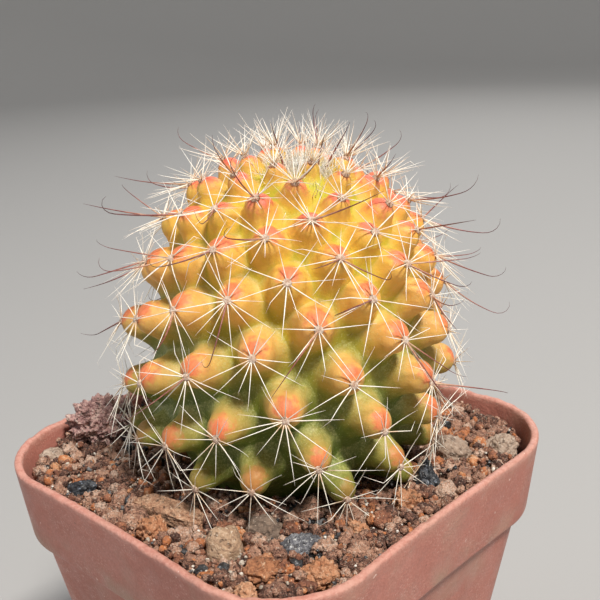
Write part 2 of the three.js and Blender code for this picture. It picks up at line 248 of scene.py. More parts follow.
shoulder_z = RIM_Z - BAND_HEIGHT
inner = 2 * WALL
pot_profile = eased([
    (POT_BASE_SIDE - 6, BASE_CORNER - 1.5, 0, 0),
    (POT_BASE_SIDE, BASE_CORNER, 0, 1.2),
    (SHOULDER_SIDE, SHOULDER_CORNER, shoulder_z - 0.4, 0.35),
    (BAND_FOOT_SIDE, RIM_CORNER - 0.5, shoulder_z, 0.5),
    (RIM_SIDE, RIM_CORNER, RIM_Z, 0.62),
    (RIM_SIDE - inner, RIM_CORNER - WALL, RIM_Z, 0.62),
    (BAND_FOOT_SIDE - inner, RIM_CORNER - 0.5 - WALL, shoulder_z + WALL, 0.5),
    (SHOULDER_SIDE - inner, SHOULDER_CORNER - WALL, shoulder_z + WALL - 0.5, 0.5),
    (POT_BASE_SIDE - inner, BASE_CORNER - WALL, POT_FLOOR, 1.0),
    (POT_BASE_SIDE - inner - 6, BASE_CORNER - WALL - 1.5, POT_FLOOR, 0),
])


def with_levels(rows, longest=3.0):
    """Adds levels along the long straight stretches, so that the walls can waver."""
    out = [rows[0]]
    for before, after in zip(rows, rows[1:]):
        parts = max(1, int(np.linalg.norm((after - before) * [0.5, 0, 1]) / longest))
        out += [before + (after - before) * k / parts for k in range(1, parts + 1)]
    return out


rings = [square_ring(side, corner, z) for side, corner, z in with_levels(pot_profile)]
points, faces = loft(rings)
points = np.array(points, float)
for p in points:
    where = Vector(p)
    # The thin walls waver a little, and the lip has small nicks and dents.
    wave = noise.noise(where * 0.045 + Vector((3, 1, 7)))
    out = Vector((p[0], p[1], 0)).normalized()
    p[:2] += np.array(out.xy) * 0.22 * wave * min(1.0, p[2] / 20)
    lip = min(1.0, max(0.0, (p[2] - RIM_Z + 1.2) / 1.0))
    nick = max(0.0, noise.noise(Vector((p[0], p[1], 0)) * 0.33 + Vector((9, 2, 4))) - 0.22)
    chatter = noise.noise(where * 1.3) + 0.6 * noise.noise(where * 2.9)
    p[2] -= lip * (0.85 * nick + 0.10 * chatter + 0.08)
    p[:2] += np.array(out.xy) * 0.07 * lip * noise.noise(where * 1.7 + Vector((0, 0, 9)))


def node_group(name, inputs, outputs):
    """An empty shader node group. Each input is (name, default): a number, or a colour of four numbers."""
    group = bpy.data.node_groups.new(name, "ShaderNodeTree")
    for label, default in inputs:
        kind = "NodeSocketFloat" if isinstance(default, (int, float)) else "NodeSocketColor"
        socket = group.interface.new_socket(label, in_out="INPUT", socket_type=kind)
        socket.default_value = default
    for label, kind in outputs:
        group.interface.new_socket(label, in_out="OUTPUT", socket_type=kind)
    return group, group.nodes.new("NodeGroupInput"), group.nodes.new("NodeGroupOutput")


def maths(tree, operation, a, b=0.0, clamp=False):
    return node(tree, "Math", {0: a, 1: b}, operation=operation, use_clamp=clamp).outputs[0]


def times(tree, *values):
    product = values[0]
    for value in values[1:]:
        product = maths(tree, "MULTIPLY", product, value)
    return product


def one_minus(tree, value):
    return maths(tree, "SUBTRACT", 1.0, value)


def centred(tree, value, width):
    """A 0 to 1 mask as a value from minus half the width to plus half the width."""
    return times(tree, maths(tree, "SUBTRACT", value, 0.5), width)


def mix(tree, share, a, b):
    """Mixes two colours, each a node's output or three plain numbers."""
    a, b = ((*c, 1) if isinstance(c, tuple) else c for c in (a, b))
    return node(tree, "Mix", {0: share, 6: a, 7: b}, data_type="RGBA").outputs[2]


def spread(tree, value, low, high):
    """0 at low, 1 at high, and eased in between."""
    return node(tree, "MapRange", {0: value, 1: low, 2: high}, interpolation_type="SMOOTHSTEP").outputs[0]


def ramp(tree, value, stops):
    """A colour ramp with (place, colour) stops."""
    made = node(tree, "ValToRGB", {0: value})
    points = made.color_ramp.elements
    while len(points) < len(stops):
        points.new(0.5)
    for point, (place, colour) in zip(points, stops):
        point.position = place
        point.color = (*colour, 1)
    return made.outputs[0]


# Mottle: soft cloudy patches of a given size, in millimetres, cut between two levels.
mottle, given, result = node_group(
    "mottle", [("Size", 2.0), ("Low", 0.4), ("High", 0.6), ("Detail", 3.0), ("Shift", 0.0)],
    [("Mask", "NodeSocketFloat")],
)
place = node(mottle, "TexCoord").outputs["Object"]
moved = node(mottle, "VectorMath", {0: place, 1: given.outputs["Shift"]}, operation="ADD").outputs[0]
scale = maths(mottle, "DIVIDE", 1 / MM, given.outputs["Size"])
cloud = node(mottle, "TexNoise", {"Vector": moved, "Scale": scale, "Detail": given.outputs["Detail"]})
cut = node(mottle, "MapRange", {0: cloud.outputs[0], 1: given.outputs["Low"], 2: given.outputs["High"]},
           interpolation_type="SMOOTHSTEP")
mottle.links.new(cut.outputs[0], result.inputs["Mask"])


def masked(tree, size, low=0.4, high=0.6, detail=3.0, shift=0.0):
    """The mottle group placed in a tree with its values."""
    made = node(tree, "Group", node_tree=mottle)
    for socket, value in zip(made.inputs, (size, low, high, detail, shift)):
        socket.default_value = value
    return made.outputs["Mask"]


# Grit: packed grains of a given size. Shade is one random value for each grain, and Height its rounded top.
grit, given, result = node_group(
    "grit", [("Size", 0.5)], [("Shade", "NodeSocketFloat"), ("Height", "NodeSocketFloat")],
)
place = node(grit, "TexCoord").outputs["Object"]
scale = maths(grit, "DIVIDE", 1 / MM, given.outputs["Size"])
warp = node(grit, "TexNoise", {"Vector": place, "Scale": scale, "Detail": 2.0})
shake = node(grit, "VectorMath", {0: warp.outputs[1], 3: 0.0006}, operation="SCALE")
bent = node(grit, "VectorMath", {0: place, 1: shake.outputs[0]}, operation="ADD").outputs[0]
cells = node(grit, "TexVoronoi", {"Vector": bent, "Scale": scale})
split = node(grit, "SeparateColor", {0: cells.outputs["Color"]})
grit.links.new(split.outputs[0], result.inputs["Shade"])
grit.links.new(maths(grit, "SUBTRACT", 1.0, cells.outputs["Distance"], True), result.inputs["Height"])


def gritted(tree, size):
    """The grit group placed in a tree. Returns its shade and height."""
    made = node(tree, "Group", node_tree=grit)
    made.inputs["Size"].default_value = size
    return made.outputs["Shade"], made.outputs["Height"]


def bump(tree, shader, height, depth):
    """Gives a shader a bump of a depth in millimetres."""
    made = node(tree, "Bump", {"Height": height, "Strength": 1.0, "Distance": depth * MM})
    tree.links.new(made.outputs[0], shader.inputs["Normal"])


pot_material, tree, shader = new_material("terracotta_plastic", Specular_IOR_Level=0.4)
plain = mix(tree, masked(tree, 14, 0.35, 0.65), (0.435, 0.168, 0.128), (0.50, 0.200, 0.155))
plain = mix(tree, times(tree, masked(tree, 0.5, 0.4, 0.62), 0.35), plain, (0.36, 0.130, 0.095))
powder = times(tree, masked(tree, 0.32, 0.56, 0.66, 3.0, 0.33), masked(tree, 6, 0.35, 0.65, 4.0, 0.5), 0.55)
plain = mix(tree, powder, plain, (0.66, 0.40, 0.33))
smear = times(tree, masked(tree, 9, 0.48, 0.75, 6.0, 0.3), 0.5)
plain = mix(tree, smear, plain, (0.42, 0.27, 0.20))
height = node(tree, "SeparateXYZ", {0: node(tree, "TexCoord").outputs["Object"]}).outputs[2]
# Grey-tan dust clings along the foot of the band. The lip is paler: partly wear and dust, partly a painted
# highlight along its top.
over_foot = spread(tree, height, (shoulder_z - 0.4) * MM, shoulder_z * MM)
fading = one_minus(tree, spread(tree, height, (shoulder_z + 0.3) * MM, (shoulder_z + 6) * MM))
dusty = times(tree, fading, over_foot, masked(tree, 7, 0.4, 0.7, 5.0, 0.7), 0.6)
plain = mix(tree, dusty, plain, (0.40, 0.29, 0.21))
# Painted highlight with wear: the whole top of the lip is made paler, then dusted.
lip_up = spread(tree, height, (RIM_Z - 1.5) * MM, (RIM_Z - 0.3) * MM)
plain = mix(tree, times(tree, lip_up, 0.30), plain, (0.62, 0.30, 0.24))
lip_dust = times(tree, lip_up, masked(tree, 0.7, 0.34, 0.6, 5.0), 0.35)
plain = mix(tree, lip_dust, plain, (0.72, 0.42, 0.34))
scuff = times(tree, masked(tree, 1.1, 0.70, 0.74, 5.0, 0.11), masked(tree, 16, 0.45, 0.6, 1.0, 0.9), 0.8)
plain = mix(tree, scuff, plain, (0.80, 0.60, 0.52))
fleck = times(tree, masked(tree, 0.9, 0.72, 0.76, 4.0, 0.57), 0.7)
plain = mix(tree, fleck, plain, (0.13, 0.07, 0.05))
tree.links.new(plain, shader.inputs["Base Color"])
rough = node(tree, "MapRange", {0: masked(tree, 3, 0.3, 0.7), 3: 0.42, 4: 0.62}).outputs[0]
tree.links.new(rough, shader.inputs["Roughness"])
texture = maths(tree, "ADD", masked(tree, 0.35, 0.3, 0.7), times(tree, masked(tree, 3, 0.3, 0.7), 2.0))
bump(tree, shader, texture, 0.03)

pot = mesh_piece("plant_pot", points, faces, [pot_material])
drill_points, drill_faces = [], []
for x in (-DRAIN_OFFSET, DRAIN_OFFSET):
    for y in (-DRAIN_OFFSET, DRAIN_OFFSET):
        bar = [[(x + DRAIN_RADIUS * math.cos(a), y + DRAIN_RADIUS * math.sin(a), z)
                for a in np.arange(32) * math.pi / 16] for z in (-3, 5)]
        bar_points, bar_faces = loft(bar)
        drill_faces += [tuple(len(drill_points) + i for i in f) for f in bar_faces]
        drill_points += bar_points
drill = mesh_piece("drill", drill_points, drill_faces, [pot_material])
cutter = pot.modifiers.new("drain_holes", "BOOLEAN")
cutter.operation = "DIFFERENCE"
cutter.object = drill
bpy.context.view_layer.objects.active = pot
bpy.ops.object.modifier_apply(modifier=cutter.name)
bpy.data.objects.remove(drill)
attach(pot, "root")
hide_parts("pot")


# ---------- soil ----------
# A loose gritty mix, filled to a few millimetres below the rim: a packed soil bed, darkened with painted
# shade for the gaps, with baked-clay grains, crumbs of tan loam, glassy black grit and pale specks lying
# loose on it.
SOIL_TOP = 59.6
SOIL_GAP = 0.35
ROOT_RADIUS = 11.5
rng = np.random.default_rng(11)
FOOT_X = 0.55


def band_inside(z):
    """Space between the insides of the band at a height."""
    share = (z - shoulder_z) / BAND_HEIGHT
    return BAND_FOOT_SIDE + (RIM_SIDE - BAND_FOOT_SIDE) * share - 2 * WALL


def inside_share(x, y):
    """1 on the inner wall of the pot at soil level, less inside."""
    half = band_inside(SOIL_TOP) / 2 - SOIL_GAP
    corner = RIM_CORNER - WALL
    dx = np.maximum(np.abs(x) - (half - corner), 0)
    dy = np.maximum(np.abs(y) - (half - corner), 0)
    straight = np.maximum(np.abs(x), np.abs(y)) / half
    round_part = (half - corner + np.hypot(dx, dy)) / half
    return np.where((dx > 0) & (dy > 0), round_part, straight)


def bed_height(x, y):
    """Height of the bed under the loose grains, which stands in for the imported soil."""
    at = Vector((x, y, 0))
    lift = 1.1 * noise.noise(at * 0.085 + Vector((5, 5, 1))) + 0.7 * noise.noise(at * 0.3)
    edge = max(0.0, float(inside_share(x, y)) - 0.8) * 2.5
    return SOIL_TOP - 1.7 + lift + 0.45 * noise.noise(at * 0.9) + edge


inset = 2 * (WALL + SOIL_GAP)
soil_rings = [
    square_ring(POT_BASE_SIDE - inset, BASE_CORNER - WALL, POT_FLOOR + SOIL_GAP),
    square_ring(SHOULDER_SIDE - inset, SHOULDER_CORNER - WALL, shoulder_z + 0.6),
    square_ring(BAND_FOOT_SIDE - inset, RIM_CORNER - WALL, shoulder_z + WALL + 0.5),
]
BED_RINGS = 46
soil_side = band_inside(SOIL_TOP) - 2 * SOIL_GAP
for step in range(BED_RINGS):
    share = (1 - step / BED_RINGS) ** 0.9
    ring = square_ring(soil_side * share, (RIM_CORNER - WALL) * share, 0)
    soil_rings.append([(x, y, bed_height(x, y)) for x, y, _ in ring])
points, faces = loft(soil_rings)

BROWN = (0.115, 0.052, 0.026)
TAN = (0.56, 0.320, 0.215)
ORANGE = (0.50, 0.17, 0.055)


def attribute(tree, name):
    return node(tree, "Attribute", attribute_name=name).outputs["Fac"]


def stone_finish(name, stops, grain, depth, rough_low=0.75, rough_high=0.95, speck=None):
    """A stony material: per-piece tint through the ramp, fine grains of their own tone, and pits darkened
    with painted shade.
    """
    made, tree, shader = new_material(name)
    shade, height = gritted(tree, grain)
    wander = centred(tree, shade, 0.46)
    cloudy = centred(tree, masked(tree, grain * 5, 0.3, 0.7), 0.3)
    where = maths(tree, "ADD", maths(tree, "ADD", attribute(tree, "tint"), wander), cloudy, True)
    colour = ramp(tree, where, stops)
    # Painted shade: the pits that the bump sinks are darkened in the colour too.
    dark = times(tree, masked(tree, grain * 2.2, 0.58, 0.72, 4.0, 0.4), 0.65)
    colour = mix(tree, dark, colour, (0.035, 0.018, 0.012))
    if speck:
        pale = times(tree, masked(tree, grain * 1.3, 0.60, 0.68, 3.0, 0.8), 0.8)
        colour = mix(tree, pale, colour, speck)
    tree.links.new(colour, shader.inputs["Base Color"])
    rough = node(tree, "MapRange", {0: shade, 3: rough_low, 4: rough_high}).outputs[0]
    tree.links.new(rough, shader.inputs["Roughness"])
    pits = times(tree, masked(tree, grain * 2.2, 0.55, 0.72, 4.0, 0.4), 1.5)
    bump(tree, shader, maths(tree, "SUBTRACT", height, pits), depth)
    return made


def store(piece, label, values):
    """Stores one value for each point of a piece."""
    layer = piece.data.attributes.new(label, "FLOAT", "POINT")
    layer.data.foreach_set("value", np.asarray(values, np.float32))


# The bed runs from soil brown down to near black: partly its own colour, partly painted shade in the gaps
# between the grains.
bed_colours = [(0.0, (0.03, 0.015, 0.01)), (0.45, BROWN), (0.75, (0.24, 0.12, 0.065)), (1.0, TAN)]
bed_finish = stone_finish("packed_mix", bed_colours, 0.45, 0.25)
soil = mesh_piece("soil_bed", points, faces, [bed_finish])
store(soil, "tint", np.full(len(soil.data.vertices), 0.4))
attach(soil, "root")
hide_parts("soil")


def lump_shape(detail, seed, knobbly, angular, crumbly=0.0):
    """Points and faces of one stone of radius 1, pulled out of round by waves, flat breaks and crumbs."""
    work = bmesh.new()
    bmesh.ops.create_icosphere(work, subdivisions=detail, radius=1)
    shift = Vector((seed * 3.7, seed * 1.3, seed * 2.1))
    planes = [Vector(v).normalized() for v in np.random.default_rng(seed).normal(size=(9, 3))]
    points = []
    for v in work.verts:
        out = v.co.normalized()
        # Broken faces: the ball is cut back by a few planes.
        cut = min(0.72 / max(out.dot(n), 0.5) for n in planes)
        size = 1 - angular * (1 - min(1.0, cut))
        size *= 1 + 0.22 * noise.noise(out * 1.3 + shift) + knobbly * noise.noise(out * 3.1 + shift)
        size += 0.5 * knobbly * noise.noise(out * 6.5 + shift)
        size += crumbly * (0.45 - noise.voronoi(out * 2.7 + shift)[0][0])
        points.append(tuple(out * size))
    faces = [tuple(v.index for v in f.verts) for f in work.faces]
    work.free()
    return np.array(points), faces


# The larger stones lie where the frame has them, and the loose grains settle round them.
NOT_STONES = ("pot", "soil", "stem", "crown_wool")
BIG_STONES = [name for name in frame["nodes"] if name not in NOT_STONES and "spine" not in name]
CELL = 0.25
reach = int(RIM_SIDE / 2 / CELL) + 2
axis = (np.arange(2 * reach + 1) - reach) * CELL
grid_x, grid_y = np.meshgrid(axis, axis, indexing="ij")
ground = np.array([[bed_height(x, y) for y in axis[::4]] for x in axis[::4]])
ground = np.kron(ground, np.ones((4, 4)))[:len(axis), :len(axis)]
room = np.hypot(grid_x - FOOT_X, grid_y) - ROOT_RADIUS
for name in BIG_STONES:
    low, high = (np.array(corner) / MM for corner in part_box(name))
    middle, half = (low + high) / 2, (high - low) / 2
    away = ((grid_x - middle[0]) / half[0]) ** 2 + ((grid_y - middle[1]) / half[1]) ** 2
    room = np.minimum(room, (np.sqrt(away) - 0.95) * half[:2].min())

GRAIN_KINDS = {
    # name: [share of the grains, smallest and largest radius, knobbly, angular, crumbly]
    "clay_grains": [0.19, 0.3, 2.1, 0.24, 0.7, 0.25],
    "loam_crumbs": [0.59, 0.35, 2.9, 0.30, 0.5, 0.42],
    "black_grit": [0.07, 0.3, 1.6, 0.16, 1.2, 0.0],
    "pale_specks": [0.15, 0.22, 0.9, 0.14, 0.9, 0.1],
}
GRAIN_COUNT = 4300
SHAPES_EACH = 10
SHAPE_DETAILS = (2, 3, 4)
FINE_ABOVE = 0.8
FINEST_ABOVE = 1.5
shapes = {}
for k, (kind, (_, _, _, *rough)) in enumerate(GRAIN_KINDS.items()):
    seeds = range(20 * k, 20 * k + SHAPES_EACH)
    shapes[kind] = [[lump_shape(detail, seed, *rough) for seed in seeds] for detail in SHAPE_DETAILS]

grains = {kind: [] for kind in GRAIN_KINDS}


def settle(kind, x, y, radius):
    """Drops a grain on the ground at a place, and raises the ground there."""
    i, j = int(round(x / CELL)) + reach, int(round(y / CELL)) + reach
    patch = max(1, int(0.7 * radius / CELL))
    z = ground[i - patch:i + patch + 1, j - patch:j + patch + 1].mean() + 0.45 * radius
    if z + radius > RIM_Z - 0.8:
        return
    wide = int(radius / CELL) + 1
    spot = (slice(i - wide, i + wide + 1), slice(j - wide, j + wide + 1))
    away = (grid_x[spot] - x) ** 2 + (grid_y[spot] - y) ** 2
    dome = z + 0.8 * np.sqrt(np.maximum(radius ** 2 - away, 0))
    ground[spot] = np.where(away < radius ** 2, np.maximum(ground[spot], dome), ground[spot])
    grains[kind].append((x, y, z, radius))


# The grains that stand out are laid first, and the rest fall into the lowest free places, largest first.
for kind, x, y, radius in [
    ("pale_specks", -14.4, -22.9, 1.3), ("black_grit", 21.9, -12.1, 1.4), ("black_grit", -26.4, -27.6, 1.3),
    ("clay_grains", 27.2, 12.4, 1.6), ("clay_grains", -23.6, -19.4, 0.8),
    ("clay_grains", -22.3, -11.6, 1.7), ("loam_crumbs", -24.2, -25, 1.3), ("pale_specks", 30.5, 19.7, 0.6),
    ("loam_crumbs", -18.6, -24.6, 2.6), ("loam_crumbs", 8.2, -26.6, 2.4), ("loam_crumbs", 17.6, -22.4, 2.2),
]:
    settle(kind, x, y, radius)
kinds = list(GRAIN_KINDS)
chances = [GRAIN_KINDS[kind][0] for kind in kinds]
for size in np.sort(rng.random(GRAIN_COUNT) ** 2.3)[::-1]:
    kind = kinds[rng.choice(len(kinds), p=chances)]
    _, small, large, *_ = GRAIN_KINDS[kind]
    radius = small + (large - small) * size
    best = None
    for _ in range(7):
        x, y = rng.uniform(-1, 1, 2) * (soil_side / 2 - radius)
        i, j = int(round(x / CELL)) + reach, int(round(y / CELL)) + reach
        if room[i, j] < 0.45 * radius or inside_share(x, y) > 1 - radius / (soil_side / 2):
            continue
        if best is None or ground[i, j] < best[2]:
            best = (x, y, ground[i, j])
    if best is not None:
        settle(kind, best[0], best[1], radius)

clay_colours = [(0.0, (0.16, 0.06, 0.035)), (0.4, (0.34, 0.14, 0.075)), (0.8, ORANGE),
                (1.0, (0.58, 0.30, 0.16))]
loam_colours = [(0.0, (0.085, 0.038, 0.027)), (0.25, (0.26, 0.125, 0.084)), (0.5, (0.46, 0.240, 0.160)),
                (0.8, TAN), (1.0, (0.70, 0.50, 0.39))]
grit_colours = [(0.0, (0.011, 0.011, 0.012)), (0.6, (0.034, 0.034, 0.037)), (1.0, (0.15, 0.145, 0.145))]
pale_colours = [(0.0, (0.30, 0.25, 0.20)), (0.6, (0.55, 0.47, 0.38)), (1.0, (0.80, 0.76, 0.70))]
GRAIN_FINISH = {
    "clay_grains": stone_finish("baked_clay", clay_colours, 0.32, 0.15, speck=(0.66, 0.47, 0.33)),
    "loam_crumbs": stone_finish("loam", loam_colours, 0.28, 0.3, speck=(0.60, 0.48, 0.38)),
    "black_grit": stone_finish("glassy_grit", grit_colours, 0.35, 0.08, 0.3, 0.8, speck=(0.30, 0.31, 0.33)),
    "pale_specks": stone_finish("pale_stone", pale_colours, 0.25, 0.06, 0.5, 0.85),
}


def random_turn():
    """A random rotation matrix."""
    q = rng.normal(size=4)
    q /= np.linalg.norm(q)
    w, x, y, z = q
    return np.array([
        [1 - 2 * (y * y + z * z), 2 * (x * y - z * w), 2 * (x * z + y * w)],
        [2 * (x * y + z * w), 1 - 2 * (x * x + z * z), 2 * (y * z - x * w)],
        [2 * (x * z - y * w), 2 * (y * z + x * w), 1 - 2 * (x * x + y * y)],
    ])


for kind, placed in grains.items():
    all_points, all_faces, tints, first = [], [], [], 0
    for x, y, z, radius in placed:
        fine = (radius > FINE_ABOVE) + (radius > FINEST_ABOVE)
        shape, shape_faces = shapes[kind][fine][rng.integers(SHAPES_EACH)]
        stretch = radius * rng.uniform(0.75, 1.15, 3)
        spun = (shape * stretch) @ random_turn().T + (x, y, z)
        all_points.append(spun)
        all_faces += [tuple(first + i for i in f) for f in shape_faces]
        tints.append(np.full(len(spun), rng.random()))
        first += len(spun)
    piece = mesh_piece(kind, np.concatenate(all_points), all_faces, [GRAIN_FINISH[kind]])
    store(piece, "tint", np.concatenate(tints))
    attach(piece, "root")


# ---------- the larger stones ----------
# Picked-out pieces of the mix: a rough lava clump, a slab of bark, a pitted beige pebble, glassy black
# shards, a stone with a white crust, worn rocks and lumps of baked clay, each bedded in the soil.
STONE_LOOKS = {
    # slot: [colour stops, grain, bump depth, speck, knobbly, angular]
    "lava": [[(0.0, (0.10, 0.055, 0.060)), (0.5, (0.31, 0.170, 0.160)), (0.8, (0.46, 0.27, 0.24)),
              (1.0, (0.60, 0.43, 0.37))], 0.5, 0.4, (0.62, 0.48, 0.42), 0.26, 0.1],
    "bark": [[(0.0, (0.15, 0.065, 0.035)), (0.5, (0.42, 0.22, 0.13)), (1.0, (0.62, 0.40, 0.26))],
             0.4, 0.2, (0.66, 0.48, 0.35), 0.06, 0.9],
    "pebble": [[(0.0, (0.24, 0.14, 0.085)), (0.5, (0.44, 0.29, 0.185)), (1.0, (0.62, 0.46, 0.33))],
               0.3, 0.1, (0.68, 0.57, 0.45), 0.05, 0.1],
    "dark_grit": [[(0.0, (0.008, 0.009, 0.011)), (0.6, (0.028, 0.031, 0.038)), (1.0, (0.17, 0.18, 0.20))],
                  0.6, 0.15, (0.25, 0.29, 0.36), 0.1, 1.0],
    "crusted_stone": [[(0.0, (0.04, 0.04, 0.045)), (0.5, (0.11, 0.11, 0.125)), (0.8, (0.30, 0.30, 0.32)),
                       (1.0, (0.62, 0.62, 0.62))], 0.35, 0.2, (0.70, 0.70, 0.68), 0.16, 0.6],
    "rock": [[(0.0, (0.17, 0.12, 0.09)), (0.5, (0.33, 0.235, 0.175)), (1.0, (0.50, 0.40, 0.32))],
             0.45, 0.14, (0.56, 0.46, 0.38), 0.12, 0.6],
    "baked_clay": [[(0.0, (0.20, 0.075, 0.035)), (0.5, (0.42, 0.18, 0.085)), (1.0, (0.58, 0.32, 0.19))],
                   0.38, 0.2, (0.62, 0.42, 0.28), 0.2, 0.4],
}
slot_of = {row["node"]: row["material_slot"] for row in frame["record"]["subparts"]}
stone_finishes = {}
for slot, (stops, grain, depth, speck, _, _) in STONE_LOOKS.items():
    shiny = (0.3, 0.7) if slot == "dark_grit" else (0.78, 0.95)
    stone_finishes[slot] = stone_finish("large_" + slot, stops, grain, depth, *shiny, speck=speck)
# How long, wide and tall each is, how it is turned, and how light its colour is.
STONE_SHAPES = {
    "lava_clump": (13.2, 10.4, 11.2, 44, 0.72),
    "bark_slab": (14.2, 3.6, 3.8, 12, 0.62),
    "beige_pebble": (5.6, 5.9, 7.0, 40, 0.42),
    "dark_shard_left": (5.6, 3.8, 4.0, 25, 0.40),
    "dark_shard_right": (8.0, 4.4, 6.4, -46, 0.40),
    "crusted_stone": (6.4, 5.0, 4.0, 45, 0.55),
    "grey_rock": (6.6, 6.2, 5.8, 10, 0.45),
    "tan_rock": (5.6, 5.8, 5.2, 60, 0.60),
    "clay_lump_left": (5.4, 4.4, 4.8, 0, 0.55),
    "clay_lump_front": (6.4, 5.8, 4.8, 30, 0.60),
    "clay_lump_right": (5.2, 5.2, 5.4, 50, 0.60),
    "reddish_lump": (6.2, 5.4, 4.2, 70, 0.35),
    "grey_brown_stone": (6.2, 5.4, 5.0, 35, 0.10),
    "orange_lump": (4.2, 3.8, 3.6, 15, 0.85),
    "amber_crumb": (4.6, 3.4, 3.2, 20, 0.80),
    "tan_lump": (4.4, 4.4, 4.0, 40, 0.60),
}

for index, (name, (*size, turn, tone)) in enumerate(STONE_SHAPES.items()):
    slot = slot_of[name]
    _, _, _, _, knobbly, angular = STONE_LOOKS[slot]
    low, high = (np.array(corner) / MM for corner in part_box(name))
    crumbly = {"lava": 0.3, "baked_clay": 0.3, "pebble": 0.0}.get(slot, 0.06)
    detail = 6 if name == "lava_clump" else 5
    shape, shape_faces = lump_shape(detail, 100 + index, knobbly, angular, crumbly)
    fitted = []
    for p in shape:
        at = Vector(p)
        if name == "bark_slab":
            # A split slab keeps flat sides and square edges.
            at = Vector([math.copysign(abs(c) ** 0.5, c) for c in at])
        rough = 0.05 * noise.noise(at * 9) + 0.03 * noise.noise(at * 18)
        rough *= 0.3 if slot == "pebble" else 1
        if slot == "lava":
            # Burst gas bubbles leave round pits between rough knobs.
            rough += 0.22 * (0.35 - noise.voronoi(at * 4.2)[0][0]) + 0.10 * noise.noise(at * 8)
        if name == "beige_pebble":
            hole = (at.normalized() - Vector((0.35, -0.75, 0.55)).normalized()).length
            rough -= 0.16 * max(0.0, 1 - (hole / 0.13) ** 2)
        if name == "bark_slab":
            # Bark splits along its length, so its top is ridged.
            rough += 0.10 * noise.noise(Vector((at.x * 1.2, at.y * 6, at.z * 5)))
        fitted.append(at * (1 + rough))
    fitted = np.array(fitted)
    least, most = fitted.min(0), fitted.max(0)
    fitted = ((fitted - least) / (most - least) - 0.5) * size
    cos, sin = math.cos(math.radians(turn)), math.sin(math.radians(turn))
    fitted = fitted @ np.array([(cos, sin, 0), (-sin, cos, 0), (0, 0, 1)]) + (low + high) / 2
    piece = mesh_piece(name + "_stone", fitted, shape_faces, [stone_finishes[slot]])
    store(piece, "tint", np.full(len(fitted), tone))
    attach(piece, "root")
    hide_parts(name)


# ---------- stem ----------
# The juicy body grew as one piece: a round core closely set with blunt nipple-like tubercles on a
# golden-angle spiral, waxy yellow at the top, green low down and between them, coral above each tip.
LEAN_X = math.radians(-1.9)
LEAN_Y = math.radians(8.1)
FIRST_ANGLE = 156.4
DIVERGENCE = 137.55
FIRST_TUBERCLE = 3
LAST_TUBERCLE = 112
ROWS = 13
TIP_STATIONS = np.array([
    # count from the crown, radius, height above the rim, tilt above level, length, fatness
    (0, 1.5, 48.9, 80, 6, 1.3),
    (8, 7.6, 47.3, 72, 7, 2.2),
    (20, 13.9, 44.6, 63, 10, 3.0),
    (40, 19.4, 38.5, 45, 12, 3.7),
    (60, 23.1, 30.3, 26, 12, 4.0),
    (80, 26.4, 18.9, 9, 12, 4.0),
    (100, 25, 6.4, -5, 11.5, 3.5),
    (112, 24.2, 2.6, -9, 11, 3.0),
])
CORE_OUTLINE = np.array([
    # radius, height above the rim, from the root's end up to the crown
    (0, -27), (2, -24), (4.5, -15), (9, -8.5), (14.6, -3), (18.6, 5), (20, 14), (18.9, 24),
    (15.8, 33.5), (11.4, 40), (6.1, 43.9), (0, 45.2),
])
STEM_VOXEL = 0.42
BLEND = 0.95
NOSE_SHARE = 0.62
FIT_ROUNDS = 5
NUDGE = 0.02
CAPPED_BELOW = 34
NEWEST_BELOW = 15
plant_lean = Matrix.Rotation(LEAN_Y, 4, "Y") @ Matrix.Rotation(LEAN_X, 4, "X")
plant_place = Matrix.Translation((FOOT_X, 0, RIM_Z)) @ plant_lean
plant_turn = np.array(plant_place.to_3x3())
plant_shift = np.array(plant_place.translation)
stem_axis = plant_turn @ (0, 0, 1)


def tubercle(count):
    """Where one tubercle's tip is, which way it points and is up, and how long and fat it is."""
    row = [np.interp(count, TIP_STATIONS[:, 0], column) for column in TIP_STATIONS.T]
    _, radius, height, tilt, length, fatness = row
    turn = math.radians(FIRST_ANGLE - DIVERGENCE * count)
    rise = math.radians(tilt)
    out = np.array([math.cos(turn), math.sin(turn), 0])
    tip = plant_turn @ (out * radius + [0, 0, height]) + plant_shift
    direction = plant_turn @ (out * math.cos(rise) + [0, 0, math.sin(rise)])
    up = plant_turn @ (-out * math.sin(rise) + [0, 0, math.cos(rise)])
    return {"count": count, "tip": tip, "out": direction, "up": up, "side": np.cross(up, direction),
            "length": length, "fat": fatness}


def girth(t, depth):
    """Radius of a tubercle at a depth behind its tip, and how far its middle humps up there."""
    nose = NOSE_SHARE * t["fat"]
    share = np.clip((depth - nose) / (t["length"] - nose), 0, 1)
    radius = nose + (1.05 * t["fat"] - nose) * share ** 0.9
    hump = 0.24 * nose * np.exp(-((depth - nose) / (2.1 * nose)) ** 2)
    return radius, hump


def tubercle_mesh(t):
    """A blunt finger: round at the nose, humped up above the spine cluster, wide at the heel."""
    nose = NOSE_SHARE * t["fat"]
    depths = [nose * (1 - math.cos(s * math.pi / 2)) for s in (0.03, 0.15, 0.35, 0.6, 1.0)]
    widths = [nose * math.sin(s * math.pi / 2) for s in (0.03, 0.15, 0.35, 0.6, 1.0)]
    for share in (0.25, 0.5, 0.75, 1.0):
        depths.append(nose + (t["length"] - nose) * share)
        widths.append(float(girth(t, depths[-1])[0]))
    out = []
    for depth, radius in zip(depths, widths):
        centre = t["tip"] - t["out"] * depth + t["up"] * float(girth(t, depth)[1])
        out.append([tuple(centre + radius * (math.cos(a) * t["side"] + math.sin(a) * t["up"]))
                    for a in np.arange(20) * math.pi / 10])
    return loft(out[::-1])


